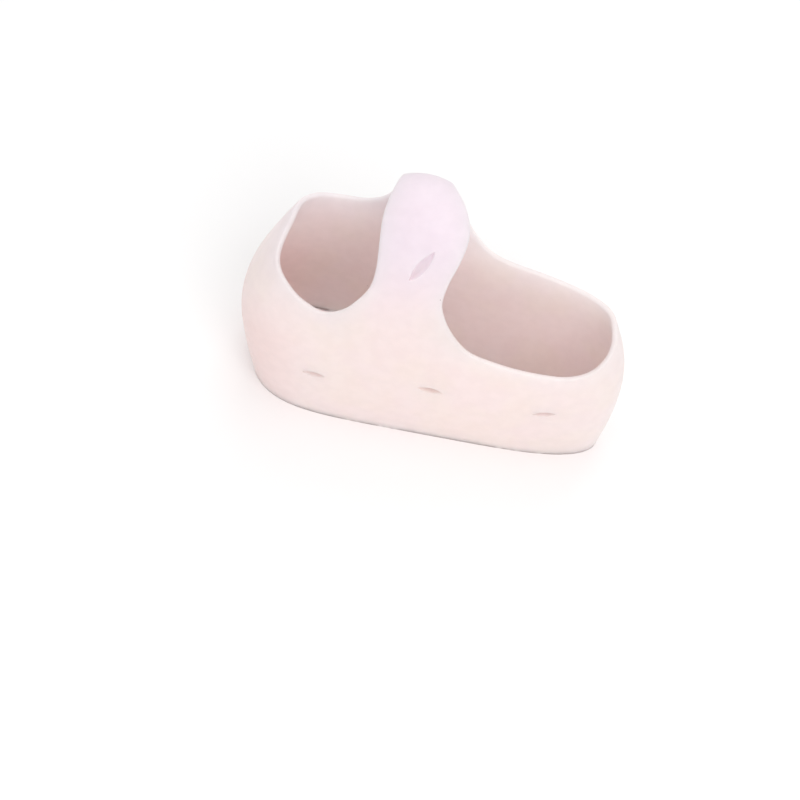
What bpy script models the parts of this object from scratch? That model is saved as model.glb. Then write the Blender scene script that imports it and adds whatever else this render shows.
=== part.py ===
# Toe separator: a one-piece gel sleeve for the ball of a left foot, with a strap between two toes.
# Metres, +Z up. It stands on its lower rim, toes up; the sole faces -Y and the little toe is at +X.
import math

import bmesh
import bpy
import numpy as np
from mathutils import Matrix, Vector

# Driving dimensions
BAND_WIDTH = 0.0958        # outside, across the ball of the foot
BAND_DEPTH = 0.0410        # outside, sole to instep at the big toe's side
PAD_HEIGHT = 0.0420        # lower rim to the edge of the big toe's hole, on the sole
STRAP_RISE = 0.0206        # how far the strap's ridge stands above its two roots
STRAP_WIDTH = 0.0187       # at its waist, on the sole
PAD_WALL = 0.0034          # gel under the ball of the foot
STRAP_WALL = 0.0031        # gel between the toes
INSTEP_WALL = 0.0023       # gel over the instep
LIP_WALL = 0.0013          # feathered edge of every hole
SLIT_LENGTH = 0.0061       # vent slit in the pad
SLIT_WIDTH = 0.0023
STRAP_SLIT_LENGTH = 0.0094
STRAP_SLIT_WIDTH = 0.0024
STRAP_SLIT_DEPTH = 0.0013      # blind, unlike the slits through the pad

# Mesh resolution and plan shape
BAND_COLUMNS = 48
STRAP_ROWS = 11
SLIT_SIDES = 20
SMOOTHING = 1
CORNER_POWER = 0.42        # below 1, the sides of the band bulge square in plan
BULGE_POWER = 0.82
RIM_TRIM = 0.0012          # flash below the rim that is trimmed off flat

# Sections of the band, from the rim up. Height is a share of PAD_HEIGHT, left and right are shares
# of BAND_WIDTH, and the two depths and the sole's place are shares of BAND_DEPTH.
SECTION_COLUMNS = ("height", "left", "right", "medial_depth", "lateral_depth", "sole")
SECTIONS = (
    (0.00, -0.464, 0.492, 1.00, 0.47, -0.400),
    (0.36, -0.489, 0.507, 1.00, 0.56, -0.452),
    (0.71, -0.493, 0.499, 0.90, 0.60, -0.457),
    (1.07, -0.425, 0.432, 0.82, 0.56, -0.394),
    (1.43, -0.318, 0.350, 0.69, 0.51, -0.263),
)

# Height of the upper edge, a share of PAD_HEIGHT, by the share of the way round the band.
# It starts at the little toe's side and goes over the instep, the big toe's side and the sole.
EDGE_COLUMNS = ("round", "height")
EDGE = (
    (0.000, 0.960), (0.060, 0.955), (0.120, 0.960), (0.180, 0.990), (0.215, 1.060), (0.245, 1.140),
    (0.281, 1.170), (0.317, 1.170), (0.350, 1.150), (0.400, 1.150), (0.450, 1.185), (0.500, 1.200),
    (0.542, 1.090), (0.583, 1.025), (0.604, 0.990), (0.630, 0.975), (0.650, 0.930), (0.669, 0.835),
    (0.690, 1.045), (0.745, 1.045), (0.770, 0.915), (0.792, 0.870), (0.815, 0.845), (0.850, 0.805),
    (0.890, 0.783), (0.920, 0.783), (0.945, 0.820), (0.970, 0.890),
)

# The strap, from its root on the sole over to its root on the instep. Along and rise are shares of
# the way between the roots and of STRAP_RISE; shift and width are shares of STRAP_WIDTH.
STRAP_COLUMNS = ("step", "along", "rise", "shift", "width")
STRAP = (
    (0.00, 0.00, 0.00, 0.00, 1.10),
    (0.10, 0.04, 0.22, 0.06, 0.93),
    (0.20, 0.10, 0.44, 0.09, 0.93),
    (0.30, 0.20, 0.66, 0.12, 1.05),
    (0.40, 0.35, 0.86, 0.12, 1.12),
    (0.50, 0.51, 0.98, 0.08, 0.98),
    (0.60, 0.67, 0.99, 0.02, 0.76),
    (0.70, 0.81, 0.85, -0.01, 0.66),
    (0.80, 0.91, 0.62, -0.01, 0.70),
    (0.90, 0.97, 0.34, 0.00, 0.85),
    (1.00, 1.00, 0.00, 0.00, 1.05),
)
STRAP_ROOT_SOLE = (32, 37)     # columns of the band that the strap grows from
STRAP_ROOT_INSTEP = (16, 11)
STRAP_CROWN = 0.05             # outward bow across the strap, a share of its width
RIDGE_CROWN = 0.12             # more of it where the strap is pinched between the toes
RIDGE_SWELL = 0.30             # and how much thicker it is there
ROOT_RELAX_REACH = 0.45        # round each root corner, a share of STRAP_WIDTH
ROOT_RELAX_PASSES = 2

# Vent slits: across is a share of BAND_WIDTH from the middle, height a share of PAD_HEIGHT.
PAD_SLIT_COLUMNS = ("name", "across", "height", "length", "opening", "tilt")
PAD_SLITS = (
    ("slit_medial", -0.273, 0.435, 0.93, 0.80, 0.0),
    ("slit_middle", 0.010, 0.505, 0.98, 0.86, -6.0),
    ("slit_lateral", 0.322, 0.460, 0.92, 0.70, 10.0),
)
STRAP_SLIT_STEP_SHARE = 0.25       # place along the strap
STRAP_SLIT_SHIFT_SHARE = 0.07      # place across it, a share of STRAP_WIDTH
STRAP_SLIT_LEAN_DEGREES = 68.0     # from +X towards the strap's length

GEL_COLOUR = (0.93, 0.82, 0.81, 1.0)
GEL_ROUGHNESS = 0.42


def clear_scene():
    for item in list(bpy.data.objects):
        bpy.data.objects.remove(item, do_unlink=True)


def new_collection(name):
    group = bpy.data.collections.new(name)
    bpy.context.scene.collection.children.link(group)
    return group


def columns_of(table, names):
    values = np.array(table, dtype=float)
    return {name: values[:, index] for index, name in enumerate(names)}


def smooth_curve(stations, values):
    """A cubic curve through the values, which holds the end values outside the stations."""
    slopes = np.gradient(values, stations)

    def at(place):
        place = min(max(place, stations[0]), stations[-1])
        i = min(max(int(np.searchsorted(stations, place)) - 1, 0), len(stations) - 2)
        step = stations[i + 1] - stations[i]
        t = (place - stations[i]) / step
        start = (2 * t**3 - 3 * t**2 + 1) * values[i] + (t**3 - 2 * t**2 + t) * step * slopes[i]
        end = (3 * t**2 - 2 * t**3) * values[i + 1] + (t**3 - t**2) * step * slopes[i + 1]
        return float(start + end)

    return at


def closed_curve(stations, values):
    """The same for a table that runs once round, from 0 to 1."""
    wrapped = np.concatenate((stations[-3:] - 1, stations, stations[:3] + 1))
    curve = smooth_curve(wrapped, np.concatenate((values[-3:], values, values[:3])))
    return lambda place: curve(place % 1.0)


sections = columns_of(SECTIONS, SECTION_COLUMNS)
section_at = {name: smooth_curve(sections["height"], sections[name]) for name in SECTION_COLUMNS[1:]}
edge = columns_of(EDGE, EDGE_COLUMNS)
edge_at = closed_curve(edge["round"], edge["height"])
strap = columns_of(STRAP, STRAP_COLUMNS)
strap_at = {name: smooth_curve(strap["step"], strap[name]) for name in STRAP_COLUMNS[1:]}


def power(value, exponent):
    return math.copysign(abs(value) ** exponent, value)


def section_point(angle, height):
    """Point on the outside of the band, at an angle in radians and a height in metres."""
    share = height / PAD_HEIGHT
    left = section_at["left"](share) * BAND_WIDTH
    right = section_at["right"](share) * BAND_WIDTH
    side = power(math.cos(angle), CORNER_POWER)
    medial = (1 - side) / 2
    depth = section_at["medial_depth"](share) * medial + section_at["lateral_depth"](share) * (1 - medial)
    x = (left + right) / 2 + (right - left) / 2 * side
    sole = section_at["sole"](share) * BAND_DEPTH
    y = sole + depth * BAND_DEPTH / 2 * (1 + power(math.sin(angle), BULGE_POWER))
    return Vector((x, y, height))


def even_angles():
    """Angles that space points evenly round the band at half its height."""
    fine = np.linspace(0, 2 * math.pi, 1441)
    points = np.array([section_point(angle, PAD_HEIGHT / 2) for angle in fine])
    length = np.concatenate(([0], np.cumsum(np.linalg.norm(np.diff(points, axis=0), axis=1))))
    return fine, length / length[-1]


fine_angles, fine_shares = even_angles()


def band_point(around, up):
    """Point on the outside of the band, by the share of the way round and the share of its height."""
    angle = float(np.interp(around % 1.0, fine_shares, fine_angles))
    top = edge_at(around) * PAD_HEIGHT
    return section_point(angle, -RIM_TRIM + (top + RIM_TRIM) * up)


def strap_point(across, step):
    """Point on the outside of the strap, by the share across from the big toe and the step along it."""
    sole = band_point((STRAP_ROOT_SOLE[0] + STRAP_ROOT_SOLE[1]) / 2 / BAND_COLUMNS, 1)
    instep = band_point((STRAP_ROOT_INSTEP[0] + STRAP_ROOT_INSTEP[1]) / 2 / BAND_COLUMNS, 1)
    middle = sole.lerp(instep, strap_at["along"](step))
    middle.x = sole.x * (1 - step) + instep.x * step + strap_at["shift"](step) * STRAP_WIDTH
    middle.z = sole.z * (1 - step) + instep.z * step + strap_at["rise"](step) * STRAP_RISE
    width = strap_at["width"](step) * STRAP_WIDTH
    pinch = math.sin(math.pi * step)
    bow = STRAP_CROWN * pinch + RIDGE_CROWN * pinch**4
    crown = bow * width * (1 - (2 * across - 1) ** 2)
    outward = Vector((0, -math.cos(math.pi * step), math.sin(math.pi * step)))
    return middle + Vector(((across - 0.5) * width, 0, 0)) + outward * crown


def strap_frame(across, step):
    """Point on the strap with its direction along and its outward normal."""
    point = strap_point(across, step)
    along = (strap_point(across, step + 0.02) - strap_point(across, step - 0.02)).normalized()
    sideways = (strap_point(across + 0.02, step) - strap_point(across - 0.02, step)).normalized()
    return point, sideways, along, sideways.cross(along).normalized()


def band_rows():
    return (0.0, 0.075, 0.2, 0.34, 0.48, 0.62, 0.76, 0.88, 0.965, 1.0)


def lip_factor(up):
    """How much of the full wall is left near the upper edge and the rim."""
    near_top = min(1.0, (1.0 - up) / 0.2)
    near_rim = min(1.0, up / 0.2)
    return math.sin(math.pi / 2 * min(near_top, near_rim))


def wall_at(around, up):
    sole_side = max(0.0, -math.sin(2 * math.pi * around))
    full = INSTEP_WALL + (PAD_WALL - INSTEP_WALL) * sole_side
    return LIP_WALL + (full - LIP_WALL) * lip_factor(up)


def strap_wall_at(across, step):
    near_edge = min(1.0, 4 * min(across, 1 - across))
    full = STRAP_WALL * (1 + RIDGE_SWELL * math.sin(math.pi * step) ** 4)
    return LIP_WALL + (full - LIP_WALL) * math.sin(math.pi / 2 * near_edge)


def add_band(cage, wall):
    """A flat grid rolled round into the band; its two ends are welded later."""
    rows = band_rows()
    made = bmesh.ops.create_grid(cage, x_segments=BAND_COLUMNS, y_segments=len(rows) - 1, size=0.5)
    for vert in made["verts"]:
        around = vert.co.x + 0.5
        up = rows[round((vert.co.y + 0.5) * (len(rows) - 1))]
        vert.co = band_point(around, up)
        vert[wall] = wall_at(around, up)


def add_strap(cage, wall):
    """A grid bent over from the sole to the instep; its first and last rows lie on the band's edge."""
    across_count = STRAP_ROOT_SOLE[1] - STRAP_ROOT_SOLE[0]
    made = bmesh.ops.create_grid(cage, x_segments=across_count, y_segments=STRAP_ROWS, size=0.5)
    for vert in made["verts"]:
        across = vert.co.x + 0.5
        step = vert.co.y + 0.5
        if step < 1e-4 or step > 1 - 1e-4:
            root = STRAP_ROOT_SOLE if step < 0.5 else STRAP_ROOT_INSTEP
            column = round(root[0] + (root[1] - root[0]) * across)
            vert.co = band_point(column / BAND_COLUMNS, 1)
            vert[wall] = STRAP_WALL if 0.1 < across < 0.9 else LIP_WALL
        else:
            vert.co = strap_point(across, step)
            vert[wall] = strap_wall_at(across, step)


def thicken_roots(cage, wall):
    """The band's upper edge is no lip where the strap grows out of it."""
    for root in (STRAP_ROOT_SOLE, STRAP_ROOT_INSTEP):
        for column in range(min(root) + 1, max(root)):
            for up in band_rows()[-4:]:
                place = band_point(column / BAND_COLUMNS, up)
                nearest = min(cage.verts, key=lambda vert: (vert.co - place).length)
                nearest[wall] = max(nearest[wall], STRAP_WALL)


def root_corners():
    """The four places where an edge of the strap turns into the band's upper edge."""
    columns = STRAP_ROOT_SOLE + STRAP_ROOT_INSTEP
    return [band_point(column / BAND_COLUMNS, 1) for column in columns]


def relax_roots(cage):
    """Round the corners at the strap's roots; a vertex on an edge only follows that edge."""
    reach = ROOT_RELAX_REACH * STRAP_WIDTH
    for corner in root_corners():
        near = [vert for vert in cage.verts if (vert.co - corner).length < reach]
        for _ in range(ROOT_RELAX_PASSES):
            moved = {}
            for vert in near:
                links = [link for link in vert.link_edges if link.is_boundary or not vert.is_boundary]
                mean = sum((link.other_vert(vert).co for link in links), Vector()) / len(links)
                fade = 1 - (vert.co - corner).length / reach
                moved[vert] = vert.co.lerp(mean, 0.5 * max(0.0, fade))
            for vert, place in moved.items():
                vert.co = place


def sleeve_cage():
    """The outside of the sleeve as one open sheet, with its wall thickness in a vertex group."""
    cage = bmesh.new()
    wall = cage.verts.layers.float.new("wall")
    add_band(cage, wall)
    add_strap(cage, wall)
    bmesh.ops.remove_doubles(cage, verts=cage.verts, dist=0.0001)
    thicken_roots(cage, wall)
    relax_roots(cage)
    walls = [vert[wall] for vert in cage.verts]
    mesh = bpy.data.meshes.new("gel_sleeve")
    cage.to_mesh(mesh)
    cage.free()
    return mesh, walls


def gel_material():
    gel = bpy.data.materials.new("gel")
    gel.use_nodes = True
    shader = gel.node_tree.nodes["Principled BSDF"]
    shader.inputs["Base Color"].default_value = GEL_COLOUR
    shader.inputs["Roughness"].default_value = GEL_ROUGHNESS
    shader.inputs["Metallic"].default_value = 0.0
    return gel


def thick_sleeve(group):
    """Give the sheet its wall inward and smooth it."""
    mesh, walls = sleeve_cage()
    sleeve = bpy.data.objects.new("gel_sleeve", mesh)
    group.objects.link(sleeve)
    thickness = sleeve.vertex_groups.new(name="wall")
    for index, value in enumerate(walls):
        thickness.add([index], value / PAD_WALL, "REPLACE")
    shell = sleeve.modifiers.new("wall", "SOLIDIFY")
    shell.thickness = PAD_WALL
    shell.offset = -1
    shell.vertex_group = "wall"
    smooth = sleeve.modifiers.new("smooth", "SUBSURF")
    smooth.levels = SMOOTHING
    smooth.render_levels = SMOOTHING
    return sleeve


def apply_modifiers(item):
    bpy.context.view_layer.update()
    graph = bpy.context.evaluated_depsgraph_get()
    finished = bpy.data.meshes.new_from_object(item.evaluated_get(graph))
    item.modifiers.clear()
    item.data = finished


def trim_rim(item):
    """Cut the flash off flat at z = 0 and close the cut as a ring."""
    body = bmesh.new()
    body.from_mesh(item.data)
    everything = body.verts[:] + body.edges[:] + body.faces[:]
    rim = {"plane_co": (0, 0, 0), "plane_no": (0, 0, -1)}
    bmesh.ops.bisect_plane(body, geom=everything, dist=1e-6, clear_outer=True, **rim)
    cut = [bound for bound in body.edges if bound.is_boundary]
    bmesh.ops.bridge_loops(body, edges=cut)
    bmesh.ops.recalc_face_normals(body, faces=body.faces)
    body.to_mesh(item.data)
    body.free()


def centre_over_origin(item):
    corners = np.array([vert.co for vert in item.data.vertices])
    middle = (corners.min(axis=0) + corners.max(axis=0)) / 2
    shift = Vector((-middle[0], -middle[1], 0))
    item.data.transform(Matrix.Translation(shift))
    return shift


def lens_cutter(name, group, length, width, depth):
    """A pointed oval prism along its own Z, closed at both ends."""
    body = bmesh.new()
    bmesh.ops.create_cone(body, cap_ends=True, segments=SLIT_SIDES, radius1=1, radius2=1, depth=depth)
    for vert in body.verts:
        vert.co.y = width / 2 * vert.co.y * abs(vert.co.y)
        vert.co.x = length / 2 * vert.co.x
    mesh = bpy.data.meshes.new(name)
    body.to_mesh(mesh)
    body.free()
    cutter = bpy.data.objects.new(name, mesh)
    cutter.hide_render = True
    cutter.display_type = "WIRE"
    group.objects.link(cutter)
    return cutter


def place_cutter(cutter, point, sideways, along, normal, lean):
    """Set the cutter through the wall, with its long axis leaned from sideways towards along."""
    turn = math.radians(lean)
    long_axis = (sideways * math.cos(turn) + along * math.sin(turn)).normalized()
    short_axis = normal.cross(long_axis).normalized()
    axes = Matrix((long_axis, short_axis, normal)).transposed().to_4x4()
    cutter.matrix_world = Matrix.Translation(point) @ axes


def sole_point(across, height):
    """Point on the sole's outside at a distance across from the middle."""
    angles = np.linspace(math.pi, 2 * math.pi, 361)
    points = [section_point(angle, height) for angle in angles]
    angle = float(np.interp(across, [point.x for point in points], angles))
    point = section_point(angle, height)
    along = (section_point(angle, height + 0.001) - section_point(angle, height - 0.001)).normalized()
    sideways = (section_point(angle + 0.01, height) - section_point(angle - 0.01, height)).normalized()
    return point, sideways, along, sideways.cross(along).normalized()


def cut_slits(sleeve, shift, group):
    """Vent slits: three through the pad and a blind one in the strap."""
    cutters = []
    for row in PAD_SLITS:
        slit = dict(zip(PAD_SLIT_COLUMNS, row))
        length = SLIT_LENGTH * slit["length"]
        width = SLIT_WIDTH * slit["opening"]
        cutter = lens_cutter(slit["name"], group, length, width, 3 * PAD_WALL)
        frame = sole_point(slit["across"] * BAND_WIDTH, slit["height"] * PAD_HEIGHT)
        place_cutter(cutter, frame[0] + shift, *frame[1:], slit["tilt"])
        cutters.append(cutter)
    cutter = lens_cutter("slit_strap", group, STRAP_SLIT_LENGTH, STRAP_SLIT_WIDTH, 2 * STRAP_SLIT_DEPTH)
    across = 0.5 + STRAP_SLIT_SHIFT_SHARE / strap_at["width"](STRAP_SLIT_STEP_SHARE)
    frame = strap_frame(across, STRAP_SLIT_STEP_SHARE)
    place_cutter(cutter, frame[0] + shift, *frame[1:], STRAP_SLIT_LEAN_DEGREES)
    cutters.append(cutter)
    for cutter in cutters:
        cut = sleeve.modifiers.new(cutter.name, "BOOLEAN")
        cut.operation = "DIFFERENCE"
        cut.solver = "EXACT"
        cut.object = cutter


def main():
    clear_scene()
    parts = new_collection("toe_separator")
    guides = new_collection("slit_cutters")
    sleeve = thick_sleeve(parts)
    apply_modifiers(sleeve)
    trim_rim(sleeve)
    shift = centre_over_origin(sleeve)
    cut_slits(sleeve, shift, guides)
    sleeve.data.materials.clear()
    sleeve.data.materials.append(gel_material())
    sleeve.data.shade_smooth()


main()
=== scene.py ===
import math

import bmesh
import bpy
import numpy as np
from mathutils import Matrix, Quaternion, Vector


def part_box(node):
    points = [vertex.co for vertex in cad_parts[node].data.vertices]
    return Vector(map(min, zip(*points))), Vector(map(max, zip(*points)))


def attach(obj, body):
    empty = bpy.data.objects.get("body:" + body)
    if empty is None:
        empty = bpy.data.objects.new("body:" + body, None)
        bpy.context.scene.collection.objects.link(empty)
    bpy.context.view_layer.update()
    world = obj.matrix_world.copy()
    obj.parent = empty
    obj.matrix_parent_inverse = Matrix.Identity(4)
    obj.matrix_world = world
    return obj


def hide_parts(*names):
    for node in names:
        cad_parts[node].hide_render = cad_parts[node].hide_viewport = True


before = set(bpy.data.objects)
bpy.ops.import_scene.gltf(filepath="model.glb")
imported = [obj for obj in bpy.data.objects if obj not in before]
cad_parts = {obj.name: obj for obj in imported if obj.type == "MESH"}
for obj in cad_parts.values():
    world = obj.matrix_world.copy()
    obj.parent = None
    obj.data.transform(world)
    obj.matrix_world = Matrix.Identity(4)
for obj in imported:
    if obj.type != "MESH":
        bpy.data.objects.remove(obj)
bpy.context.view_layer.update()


def linearColour(hexValue):
    # sRGB hex to the linear colour that a shader reads
    channels = [int(hexValue[i:i + 2], 16) / 255 for i in (1, 3, 5)]
    linear = [c / 12.92 if c <= 0.04045 else ((c + 0.055) / 1.055) ** 2.4 for c in channels]
    return (*linear, 1.0)


def addNode(tree, kind, settings=None, links=None):
    node = tree.nodes.new(kind)
    for name, value in (settings or {}).items():
        if name in node.inputs:
            node.inputs[name].default_value = value
        else:
            setattr(node, name, value)
    for name, source in (links or {}).items():
        tree.links.new(source, node.inputs[name])
    return node


# Curves through short tables

def smoothCurve(stations, values):
    slopes = np.gradient(values, stations)

    def at(place):
        place = min(max(place, stations[0]), stations[-1])
        i = min(max(int(np.searchsorted(stations, place)) - 1, 0), len(stations) - 2)
        step = stations[i + 1] - stations[i]
        t = (place - stations[i]) / step
        start = (2 * t**3 - 3 * t**2 + 1) * values[i] + (t**3 - 2 * t**2 + t) * step * slopes[i]
        end = (3 * t**2 - 2 * t**3) * values[i + 1] + (t**3 - t**2) * step * slopes[i + 1]
        return float(start + end)

    return at


def tableCurves(table, closed=False):
    # one curve for each column, all over the first column
    rows = np.array(table["rows"], dtype=float)
    stations = rows[:, 0]
    curves = {}
    for index, name in enumerate(table["columns"][1:], start=1):
        values = rows[:, index]
        if closed:
            around = np.concatenate((stations[-3:] - 1, stations, stations[:3] + 1))
            wrapped = smoothCurve(around, np.concatenate((values[-3:], values, values[:3])))
            curves[name] = lambda place, wrapped=wrapped: wrapped(place % 1.0)
        else:
            curves[name] = smoothCurve(stations, values)
    return curves


# The gel sleeve: real sizes in metres, then the cage's own counts
gelSleeve = {
    "bandWidth": 0.0958,
    "bandDepth": 0.0410,
    "padHeight": 0.0420,
    "strapRise": 0.0206,
    "strapWidth": 0.0187,
    "padWall": 0.0034,
    "strapWall": 0.0031,
    "instepWall": 0.0023,
    "lipWall": 0.0013,
    "rimTrim": 0.0012,
    "lipZone": 0.2,
    "strapLipZone": 0.25,
    "cornerPower": 0.42,
    "bulgePower": 0.82,
    "strapCrown": 0.05,
    "ridgeCrown": 0.12,
    "ridgeSwell": 0.30,
    "relaxReach": 0.0095,
    "relaxPull": 0.5,
    "relaxPasses": 24,
    "seamGap": 0.0001,
    "bandColumns": 96,
    "bandRows": (0.0, 0.04, 0.09, 0.18, 0.29, 0.40, 0.51, 0.62, 0.73, 0.83, 0.91, 0.96, 0.985, 1.0),
    "strapRows": 26,
    "soleRoot": (64, 74),
    "instepRoot": (32, 22),
    "smoothing": 2,
}

# Sections from the rim up. Height is a share of padHeight, the sides are shares of bandWidth,
# and the depths and the sole's place are shares of bandDepth.
bandSections = {
    "columns": ("height", "left", "right", "medialDepth", "lateralDepth", "sole"),
    "rows": (
        (0.00, -0.464, 0.492, 1.00, 0.47, -0.400),
        (0.36, -0.489, 0.507, 1.00, 0.56, -0.452),
        (0.71, -0.493, 0.499, 0.90, 0.60, -0.457),
        (1.07, -0.425, 0.432, 0.82, 0.56, -0.394),
        (1.43, -0.318, 0.350, 0.69, 0.51, -0.263),
    ),
}

# Upper edge, from the little toe's side over the instep, the big toe's side and the sole
upperEdge = {
    "columns": ("round", "height"),
    "rows": (
        (0.000, 0.960), (0.060, 0.955), (0.120, 0.960), (0.180, 0.990), (0.215, 1.060), (0.245, 1.140),
        (0.281, 1.170), (0.317, 1.170), (0.350, 1.150), (0.400, 1.150), (0.450, 1.185), (0.500, 1.200),
        (0.542, 1.090), (0.583, 1.030), (0.604, 0.990), (0.630, 0.950), (0.650, 0.900), (0.669, 0.825),
        (0.690, 0.950), (0.745, 1.045), (0.770, 0.915), (0.792, 0.870), (0.815, 0.845), (0.850, 0.805),
        (0.890, 0.783), (0.920, 0.783), (0.945, 0.820), (0.970, 0.890),
    ),
}

# The strap, from the sole over to the instep; rise is a share of strapRise, shift and width of strapWidth
strapPath = {
    "columns": ("step", "along", "rise", "shift", "width"),
    "rows": (
        (0.00, 0.00, 0.00, 0.00, 1.10),
        (0.10, 0.04, 0.22, 0.06, 0.93),
        (0.20, 0.10, 0.44, 0.09, 0.93),
        (0.30, 0.20, 0.66, 0.12, 1.05),
        (0.40, 0.35, 0.86, 0.12, 1.12),
        (0.50, 0.51, 0.98, 0.08, 0.98),
        (0.60, 0.67, 0.99, 0.02, 0.76),
        (0.70, 0.81, 0.85, -0.01, 0.66),
        (0.80, 0.91, 0.62, -0.01, 0.70),
        (0.90, 0.97, 0.34, 0.00, 0.85),
        (1.00, 1.00, 0.00, 0.00, 1.05),
    ),
}

sectionAt = tableCurves(bandSections)
edgeAt = tableCurves(upperEdge, closed=True)["height"]
strapAt = tableCurves(strapPath)


def power(value, exponent):
    return math.copysign(abs(value) ** exponent, value)


def sectionPoint(angle, height):
    # outside of the band at an angle round it and a height
    share = height / gelSleeve["padHeight"]
    left = sectionAt["left"](share) * gelSleeve["bandWidth"]
    right = sectionAt["right"](share) * gelSleeve["bandWidth"]
    side = power(math.cos(angle), gelSleeve["cornerPower"])
    medial = (1 - side) / 2
    depth = sectionAt["medialDepth"](share) * medial + sectionAt["lateralDepth"](share) * (1 - medial)
    sole = sectionAt["sole"](share) * gelSleeve["bandDepth"]
    y = sole + depth * gelSleeve["bandDepth"] / 2 * (1 + power(math.sin(angle), gelSleeve["bulgePower"]))
    return Vector(((left + right) / 2 + (right - left) / 2 * side, y, height))


def evenAngles():
    # angles that space points evenly round the band at half its height
    angles = np.linspace(0, 2 * math.pi, 1441)
    points = np.array([sectionPoint(angle, gelSleeve["padHeight"] / 2) for angle in angles])
    length = np.concatenate(([0], np.cumsum(np.linalg.norm(np.diff(points, axis=0), axis=1))))
    return angles, length / length[-1]


fineAngles, fineShares = evenAngles()


def bandPoint(around, up):
    angle = float(np.interp(around % 1.0, fineShares, fineAngles))
    top = edgeAt(around) * gelSleeve["padHeight"]
    trim = gelSleeve["rimTrim"]
    return sectionPoint(angle, -trim + (top + trim) * up)


def strapPoint(across, step):
    columns = gelSleeve["bandColumns"]
    sole = bandPoint(sum(gelSleeve["soleRoot"]) / 2 / columns, 1)
    instep = bandPoint(sum(gelSleeve["instepRoot"]) / 2 / columns, 1)
    middle = sole.lerp(instep, strapAt["along"](step))
    middle.x = sole.x * (1 - step) + instep.x * step + strapAt["shift"](step) * gelSleeve["strapWidth"]
    middle.z = sole.z * (1 - step) + instep.z * step + strapAt["rise"](step) * gelSleeve["strapRise"]
    width = strapAt["width"](step) * gelSleeve["strapWidth"]
    pinch = math.sin(math.pi * step)
    bow = gelSleeve["strapCrown"] * pinch + gelSleeve["ridgeCrown"] * pinch**4
    crown = bow * width * (1 - (2 * across - 1) ** 2)
    outward = Vector((0, -math.cos(math.pi * step), math.sin(math.pi * step)))
    return middle + Vector(((across - 0.5) * width, 0, 0)) + outward * crown


def bandWall(around, up):
    # feathered at the upper edge and the rim, full between, and thickest under the sole
    lip = gelSleeve["lipWall"]
    soleSide = max(0.0, -math.sin(2 * math.pi * around))
    full = gelSleeve["instepWall"] + (gelSleeve["padWall"] - gelSleeve["instepWall"]) * soleSide
    inside = min(1.0, min(up, 1.0 - up) / gelSleeve["lipZone"])
    return lip + (full - lip) * math.sin(math.pi / 2 * inside)


def strapWall(across, step):
    # feathered at the strap's sides and swollen where the toes pinch it
    lip = gelSleeve["lipWall"]
    inside = min(1.0, min(across, 1 - across) / gelSleeve["strapLipZone"])
    full = gelSleeve["strapWall"] * (1 + gelSleeve["ridgeSwell"] * math.sin(math.pi * step) ** 4)
    return lip + (full - lip) * math.sin(math.pi / 2 * inside)


def rollBand(cage, wall):
    # a flat grid rolled round the foot's shape
    rows = gelSleeve["bandRows"]
    columns = gelSleeve["bandColumns"]
    made = bmesh.ops.create_grid(cage, x_segments=columns, y_segments=len(rows) - 1, size=0.5)
    for vert in made["verts"]:
        around = vert.co.x + 0.5
        up = rows[round((vert.co.y + 0.5) * (len(rows) - 1))]
        vert[wall] = bandWall(around, up)
        for root in (gelSleeve["soleRoot"], gelSleeve["instepRoot"]):
            inRoot = (around * columns - min(root)) / abs(root[1] - root[0])
            if 0 < inRoot < 1 and up > 1 - gelSleeve["lipZone"]:
                vert[wall] = max(vert[wall], strapWall(inRoot, 0))
        vert.co = bandPoint(around, up)


def bendStrap(cage, wall):
    # a grid bent over from the sole to the instep; its end rows lie on the band's upper edge
    soleRoot, instepRoot = gelSleeve["soleRoot"], gelSleeve["instepRoot"]
    across = soleRoot[1] - soleRoot[0]
    made = bmesh.ops.create_grid(cage, x_segments=across, y_segments=gelSleeve["strapRows"], size=0.5)
    for vert in made["verts"]:
        share, step = vert.co.x + 0.5, vert.co.y + 0.5
        vert[wall] = strapWall(share, step)
        if 1e-4 < step < 1 - 1e-4:
            vert.co = strapPoint(share, step)
        else:
            root = soleRoot if step < 0.5 else instepRoot
            column = round(root[0] + (root[1] - root[0]) * share)
            vert.co = bandPoint(column / gelSleeve["bandColumns"], 1)


def relaxRoots(cage):
    # rounds the corners at the strap's roots; a vertex on an edge only follows that edge
    reach = gelSleeve["relaxReach"]
    for column in gelSleeve["soleRoot"] + gelSleeve["instepRoot"]:
        corner = bandPoint(column / gelSleeve["bandColumns"], 1)
        near = [vert for vert in cage.verts if (vert.co - corner).length < reach]
        for _ in range(gelSleeve["relaxPasses"]):
            moved = {}
            for vert in near:
                links = [link for link in vert.link_edges if link.is_boundary or not vert.is_boundary]
                mean = sum((link.other_vert(vert).co for link in links), Vector()) / len(links)
                fade = max(0.0, 1 - (vert.co - corner).length / reach)
                moved[vert] = vert.co.lerp(mean, gelSleeve["relaxPull"] * fade)
            for vert, place in moved.items():
                vert.co = place


def applyModifiers(piece):
    bpy.context.view_layer.update()
    graph = bpy.context.evaluated_depsgraph_get()
    finished = bpy.data.meshes.new_from_object(piece.evaluated_get(graph))
    piece.modifiers.clear()
    piece.data = finished


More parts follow.
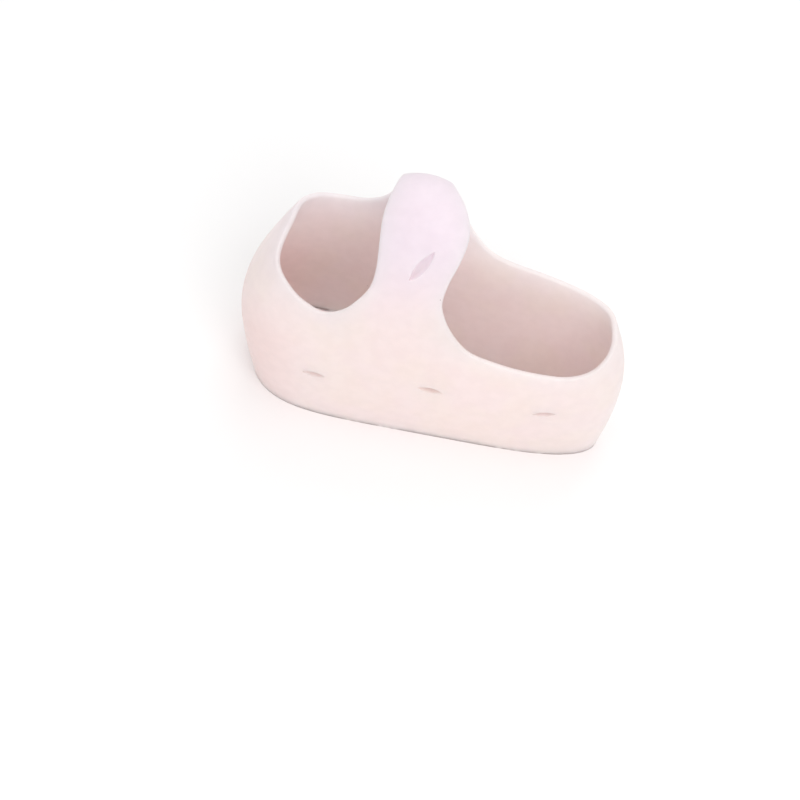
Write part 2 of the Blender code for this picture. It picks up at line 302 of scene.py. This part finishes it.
def makeSleeve():
    cage = bmesh.new()
    wall = cage.verts.layers.float.new("wall")
    rollBand(cage, wall)
    bendStrap(cage, wall)
    bmesh.ops.remove_doubles(cage, verts=cage.verts, dist=gelSleeve["seamGap"])
    relaxRoots(cage)
    walls = [vert[wall] for vert in cage.verts]
    mesh = bpy.data.meshes.new("mouldedSleeve")
    cage.to_mesh(mesh)
    cage.free()
    piece = bpy.data.objects.new("mouldedSleeve", mesh)
    bpy.context.scene.collection.objects.link(piece)
    thickness = piece.vertex_groups.new(name="wall")
    for index, value in enumerate(walls):
        thickness.add([index], value / gelSleeve["padWall"], "REPLACE")
    shell = piece.modifiers.new("wall", "SOLIDIFY")
    shell.thickness = gelSleeve["padWall"]
    shell.offset = -1
    shell.vertex_group = "wall"
    smooth = piece.modifiers.new("smooth", "SUBSURF")
    smooth.levels = gelSleeve["smoothing"]
    smooth.render_levels = gelSleeve["smoothing"]
    applyModifiers(piece)
    return piece


def trimRim(piece):
    # the flash below the rim is cut off flat, so the sleeve stands on a plane ring
    body = bmesh.new()
    body.from_mesh(piece.data)
    everything = body.verts[:] + body.edges[:] + body.faces[:]
    rim = {"plane_co": (0, 0, 0), "plane_no": (0, 0, -1)}
    bmesh.ops.bisect_plane(body, geom=everything, dist=1e-6, clear_outer=True, **rim)
    bmesh.ops.bridge_loops(body, edges=[bound for bound in body.edges if bound.is_boundary])
    bmesh.ops.recalc_face_normals(body, faces=body.faces)
    body.to_mesh(piece.data)
    body.free()


def centreOnNode(piece, node):
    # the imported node's box gives the place in plan
    low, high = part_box(node)
    corners = np.array([vert.co for vert in piece.data.vertices])
    middle = (corners.min(axis=0) + corners.max(axis=0)) / 2
    shift = Vector(((low[0] + high[0]) / 2 - middle[0], (low[1] + high[1]) / 2 - middle[1], 0))
    piece.data.transform(Matrix.Translation(shift))
    return shift


sleeve = makeSleeve()
trimRim(sleeve)
sleeveShift = centreOnNode(sleeve, "gel_sleeve")
print("sleeve moulded,", len(sleeve.data.polygons), "faces")


# Vent slits: across is a share of bandWidth, height of padHeight, length and opening of the slit's own
# length and width. A profile runs up through the wall as millimetres from the outer surface and a share
# of the slit's size; its top rounds the mouth.
ventSlits = {
    "length": 0.0061,
    "width": 0.0023,
    "sides": 40,
    "tipPower": 1.7,
    "lengthSpread": 0.35,
    "weld": 0.00001,
    "profile": ((-6.0, 0.95), (-0.45, 0.95), (-0.2, 0.99), (-0.05, 1.06), (0.08, 1.18), (1.5, 1.4)),
    "columns": ("across", "height", "length", "opening", "tilt"),
    "rows": (
        (-0.273, 0.435, 0.93, 0.80, 0.0),
        (0.010, 0.505, 0.98, 0.88, -5.5),
        (0.322, 0.460, 0.92, 0.70, 10.0),
    ),
}

# The strap's slit is blind: a shallow lens with a soft floor
strapSlit = {
    "length": 0.0094,
    "width": 0.0024,
    "step": 0.25,
    "shift": 0.07,
    "lean": 68.0,
    "profile": (
        (-1.3, 0.25), (-1.25, 0.45), (-1.0, 0.72), (-0.6, 0.90), (-0.2, 1.02), (0.1, 1.25), (1.5, 1.6),
    ),
}


def frameOn(pointAt, u, v, du, dv):
    # place, sideways, along and outward on a surface
    sideways = (pointAt(u + du, v) - pointAt(u - du, v)).normalized()
    along = (pointAt(u, v + dv) - pointAt(u, v - dv)).normalized()
    return pointAt(u, v), sideways, along, sideways.cross(along).normalized()


def lensCutter(length, width, depths):
    # pointed oval rings stacked through the wall, wider at the outside; length spreads less than width
    body = bmesh.new()
    made = bmesh.ops.create_circle(body, segments=ventSlits["sides"], radius=1.0, cap_ends=True)
    ring = made["verts"]
    for vert in ring:
        vert.co.y = width / 2 * power(vert.co.y, ventSlits["tipPower"])
        vert.co.x = length / 2 * vert.co.x
    shape = [vert.co.copy() for vert in ring]
    for vert in ring:
        place = vert.co * depths[0][1]
        vert.co = Vector((place.x, place.y, depths[0][0] / 1000))
    top = body.faces[:]
    for number, (depth, spread) in enumerate(depths[1:]):
        grown = bmesh.ops.extrude_face_region(body, geom=top)["geom"]
        if number:
            # the face that this ring grew from would stay inside as a wall
            bmesh.ops.delete(body, geom=top, context="FACES_ONLY")
        top = [item for item in grown if isinstance(item, bmesh.types.BMFace)]
        ring = [item for item in grown if isinstance(item, bmesh.types.BMVert)]
        for vert, place in zip(ring, shape):
            longer = 1 + (spread - 1) * ventSlits["lengthSpread"]
            vert.co = Vector((place.x * longer, place.y * spread, depth / 1000))
    bmesh.ops.recalc_face_normals(body, faces=body.faces)
    mesh = bpy.data.meshes.new("lensCutter")
    body.to_mesh(mesh)
    body.free()
    cutter = bpy.data.objects.new("lensCutter", mesh)
    bpy.context.scene.collection.objects.link(cutter)
    return cutter


def cutSlit(piece, place, length, width, lean, profile):
    point, sideways, along, outward = place
    turn = math.radians(lean)
    longAxis = (sideways * math.cos(turn) + along * math.sin(turn)).normalized()
    axes = Matrix((longAxis, outward.cross(longAxis), outward)).transposed().to_4x4()
    cutter = lensCutter(length, width, profile)
    cutter.matrix_world = Matrix.Translation(point + sleeveShift) @ axes
    cut = piece.modifiers.new("slit", "BOOLEAN")
    cut.operation = "DIFFERENCE"
    cut.solver = "EXACT"
    cut.object = cutter
    applyModifiers(piece)
    bpy.data.objects.remove(cutter, do_unlink=True)


def soleAngle(across, height):
    angles = np.linspace(math.pi, 2 * math.pi, 361)
    return float(np.interp(across, [sectionPoint(angle, height).x for angle in angles], angles))


def cutVents(piece):
    for row in ventSlits["rows"]:
        slit = dict(zip(ventSlits["columns"], row))
        height = slit["height"] * gelSleeve["padHeight"]
        angle = soleAngle(slit["across"] * gelSleeve["bandWidth"], height)
        place = frameOn(sectionPoint, angle, height, 0.01, 0.001)
        length = ventSlits["length"] * slit["length"]
        width = ventSlits["width"] * slit["opening"]
        cutSlit(piece, place, length, width, slit["tilt"], ventSlits["profile"])
    across = 0.5 + strapSlit["shift"] / strapAt["width"](strapSlit["step"])
    place = frameOn(strapPoint, across, strapSlit["step"], 0.02, 0.02)
    length, width = strapSlit["length"], strapSlit["width"]
    cutSlit(piece, place, length, width, strapSlit["lean"], strapSlit["profile"])


def weldSlivers(piece):
    # the cuts leave slivers at the slits' tips
    body = bmesh.new()
    body.from_mesh(piece.data)
    bmesh.ops.triangulate(body, faces=[face for face in body.faces if len(face.verts) > 4])
    bmesh.ops.remove_doubles(body, verts=body.verts, dist=ventSlits["weld"])
    bmesh.ops.dissolve_degenerate(body, edges=body.edges, dist=ventSlits["weld"])
    openEdges = sum(not edge.is_manifold for edge in body.edges)
    body.to_mesh(piece.data)
    body.free()
    return openEdges


cutVents(sleeve)
openEdges = weldSlivers(sleeve)
sleeve.data.shade_smooth()
sleeve.data.set_sharp_from_angle(angle=math.radians(40))
print("vents cut,", len(sleeve.data.polygons), "faces,", openEdges, "open edges")


# Styrene gel, cast in a satin mould: milky, lit from within, with a soft satin skin.
# Tints are sRGB; every scale is in repeats per metre, every relief in metres.
castGel = {
    "padTint": "#FBE3E1",
    "warmTint": "#FBE4DF",
    "strapTint": "#EEE0E9",
    # the medial tint is painted shade: the big toe's side of the band, below the shoulder, is darkened
    "medialShadeTint": "#F0D5D2",
    "strapFrom": 0.036,
    "strapTo": 0.062,
    "medialFrom": -0.026,
    "medialTo": -0.046,
    "shoulderFrom": 0.040,
    "shoulderTo": 0.022,
    "mottleScale": 75.0,
    "mottleEdge": (0.40, 0.66),
    "cloudScale": 340.0,
    "cloudDepth": 0.03,
    "satinScale": 2600.0,
    "satinRelief": 0.000012,
    "waveScale": 95.0,
    "waveRelief": 0.00016,
    "roughness": (0.36, 0.50),
    "speckScale": 105.0,
    "speckRadius": 0.022,
    "speckShare": 0.16,
    "speckTint": "#B9A7A4",
    "scatterDepth": 0.0065,
    "scatterTint": (1.0, 0.94, 0.92),
}


def rampNode(tree, source, low, high, toLow=0.0, toHigh=1.0):
    ramp = addNode(tree, "ShaderNodeMapRange", {
        "interpolation_type": "SMOOTHSTEP",
        "From Min": low,
        "From Max": high,
        "To Min": toLow,
        "To Max": toHigh,
    }, {"Value": source})
    return ramp.outputs["Result"]


def noiseNode(tree, place, scale, detail):
    noise = addNode(tree, "ShaderNodeTexNoise", {"Scale": scale, "Detail": detail}, {"Vector": place})
    return noise.outputs["Fac"]


def mixTint(tree, factor, first, second):
    # either tint is a hex value or another node's colour
    mix = addNode(tree, "ShaderNodeMix", {"data_type": "RGBA"})
    tree.links.new(factor, mix.inputs["Factor"])
    for socket, tint in ((mix.inputs[6], first), (mix.inputs[7], second)):
        if isinstance(tint, str):
            socket.default_value = linearColour(tint)
        else:
            tree.links.new(tint, socket)
    return mix.outputs[2]


def gelTint(tree, place):
    # warm clouds in the pad, painted shade low on the big toe's side, lavender white up the strap
    axes = addNode(tree, "ShaderNodeSeparateXYZ", links={"Vector": place}).outputs
    mottle = rampNode(tree, noiseNode(tree, place, castGel["mottleScale"], 2.0), *castGel["mottleEdge"])
    tint = mixTint(tree, mottle, castGel["padTint"], castGel["warmTint"])
    # painted shade: the big toe's side below the shoulder is darkened, as if the light left that wall in
    # shade
    medial = rampNode(tree, axes["X"], castGel["medialFrom"], castGel["medialTo"])
    below = rampNode(tree, axes["Z"], castGel["shoulderFrom"], castGel["shoulderTo"])
    paintedShadeMask = addNode(tree, "ShaderNodeMath", {"operation": "MULTIPLY"}, {0: medial, 1: below})
    tint = mixTint(tree, paintedShadeMask.outputs[0], tint, castGel["medialShadeTint"])
    strap = rampNode(tree, axes["Z"], castGel["strapFrom"], castGel["strapTo"])
    tint = mixTint(tree, strap, tint, castGel["strapTint"])
    cloud = castGel["cloudDepth"]
    shade = rampNode(tree, noiseNode(tree, place, castGel["cloudScale"], 3.0), 0.3, 0.7, 1 - cloud, 1.0)
    bright = addNode(tree, "ShaderNodeHueSaturation", links={"Color": tint, "Value": shade})
    return bright.outputs["Color"]


def addSpecks(tree, place, tint):
    # a few dust specks and pin bubbles caught in the gel
    cells = addNode(tree, "ShaderNodeTexVoronoi", {"Scale": castGel["speckScale"]}, {"Vector": place})
    spot = rampNode(tree, cells.outputs["Distance"], castGel["speckRadius"], castGel["speckRadius"] / 3)
    pick = addNode(tree, "ShaderNodeSeparateColor", links={"Color": cells.outputs["Color"]})
    chosen = addNode(tree, "ShaderNodeMath", {"operation": "LESS_THAN"}, {0: pick.outputs["Red"]})
    chosen.inputs[1].default_value = castGel["speckShare"]
    both = addNode(tree, "ShaderNodeMath", {"operation": "MULTIPLY"}, {0: spot, 1: chosen.outputs[0]})
    return mixTint(tree, both.outputs[0], tint, castGel["speckTint"])


def satinBump(tree, place):
    # the mould's fine satin texture over slow waves left by the soft gel
    wave = addNode(tree, "ShaderNodeBump", {"Distance": castGel["waveRelief"]},
                   {"Height": noiseNode(tree, place, castGel["waveScale"], 1.0)})
    satin = addNode(tree, "ShaderNodeBump", {"Distance": castGel["satinRelief"]},
                    {"Height": noiseNode(tree, place, castGel["satinScale"], 2.0),
                     "Normal": wave.outputs["Normal"]})
    return satin.outputs["Normal"]


def makeGel():
    gel = bpy.data.materials.new("castStyreneGel")
    gel.use_nodes = True
    tree = gel.node_tree
    tree.nodes.clear()
    place = addNode(tree, "ShaderNodeTexCoord").outputs["Object"]
    patches = noiseNode(tree, place, castGel["mottleScale"] * 2, 2.0)
    skin = addNode(tree, "ShaderNodeBsdfPrincipled", {
        "IOR": 1.48,
        "Subsurface Weight": 0.85,
        "Subsurface Radius": castGel["scatterTint"],
        "Subsurface Scale": castGel["scatterDepth"],
    }, {
        "Base Color": addSpecks(tree, place, gelTint(tree, place)),
        "Roughness": rampNode(tree, patches, 0.35, 0.65, *castGel["roughness"]),
        "Normal": satinBump(tree, place),
    })
    addNode(tree, "ShaderNodeOutputMaterial", links={"Surface": skin.outputs["BSDF"]})
    return gel


sleeve.data.materials.clear()
sleeve.data.materials.append(makeGel())
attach(sleeve, "root")
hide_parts("gel_sleeve")
print("gel on the sleeve")


# Studio: pale floor, broad soft lights and a high white dome
studio = {
    "floorColour": "#FDFDFD",
    "floorSize": 3.0,
    "domeStrength": 0.68,
    "lights": (
        # name, place, size, power
        ("keyLight", (0.35, -0.75, 0.85), 0.7, 4.0),
        ("fillLight", (-0.8, -0.35, 0.6), 0.8, 0.5),
        ("topLight", (-0.1, 0.1, 1.1), 0.9, 1.6),
        ("backLight", (0.1, 0.8, 0.9), 0.8, 1.6),
    ),
}


def makeFloor():
    body = bmesh.new()
    bmesh.ops.create_grid(body, x_segments=1, y_segments=1, size=studio["floorSize"] / 2)
    mesh = bpy.data.meshes.new("studioFloor")
    body.to_mesh(mesh)
    body.free()
    floor = bpy.data.objects.new("studioFloor", mesh)
    bpy.context.scene.collection.objects.link(floor)
    paper = bpy.data.materials.new("palePaper")
    paper.use_nodes = True
    shader = paper.node_tree.nodes["Principled BSDF"]
    shader.inputs["Base Color"].default_value = linearColour(studio["floorColour"])
    shader.inputs["Roughness"].default_value = 0.9
    floor.data.materials.append(paper)


def makeLights():
    aim = Vector((0, 0, 0.03))
    for name, place, size, powerWatts in studio["lights"]:
        lamp = bpy.data.lights.new(name, "AREA")
        lamp.size = size
        lamp.energy = powerWatts
        light = bpy.data.objects.new(name, lamp)
        light.location = place
        light.rotation_mode = "QUATERNION"
        light.rotation_quaternion = (aim - Vector(place)).to_track_quat("-Z", "Y")
        bpy.context.scene.collection.objects.link(light)
    dome = bpy.data.worlds.new("whiteDome")
    dome.use_nodes = True
    sky = dome.node_tree.nodes["Background"]
    sky.inputs["Color"].default_value = (1, 1, 1, 1)
    sky.inputs["Strength"].default_value = studio["domeStrength"]
    bpy.context.scene.world = dome


# The camera stands where the photograph was taken; pixels are of the 800 by 800 frame
camera = {
    "elevation": 50.0,
    "roll": 10.63,
    "distance": 0.410,
    "focalPixels": 1640.0,
    "framePixels": 800,
    "sensor": 36.0,
    "targetHeight": 0.020,
    "targetPixel": (430.0, 333.4),
}


def makeCamera():
    elevation = math.radians(camera["elevation"])
    back = Vector((0, -math.cos(elevation), math.sin(elevation)))
    level = (-back).to_track_quat("-Z", "Y")
    rolled = level @ Quaternion((0, 0, 1), math.radians(camera["roll"]))
    target = Vector((0, 0, camera["targetHeight"])) + sleeveShift
    middle = camera["framePixels"] / 2
    offset = Vector(((camera["targetPixel"][0] - middle) / camera["focalPixels"],
                     (middle - camera["targetPixel"][1]) / camera["focalPixels"], -1))
    aim = offset.rotation_difference(Vector((0, 0, -1)))
    data = bpy.data.cameras.new("studioCamera")
    data.sensor_width = camera["sensor"]
    data.lens = camera["focalPixels"] / camera["framePixels"] * camera["sensor"]
    data.clip_start = 0.01
    item = bpy.data.objects.new("studioCamera", data)
    item.location = target + back * camera["distance"]
    item.rotation_mode = "QUATERNION"
    item.rotation_quaternion = rolled @ aim
    bpy.context.scene.collection.objects.link(item)
    bpy.context.scene.camera = item


makeFloor()
makeLights()
makeCamera()
bpy.context.scene.view_settings.view_transform = "Standard"
print("studio ready")
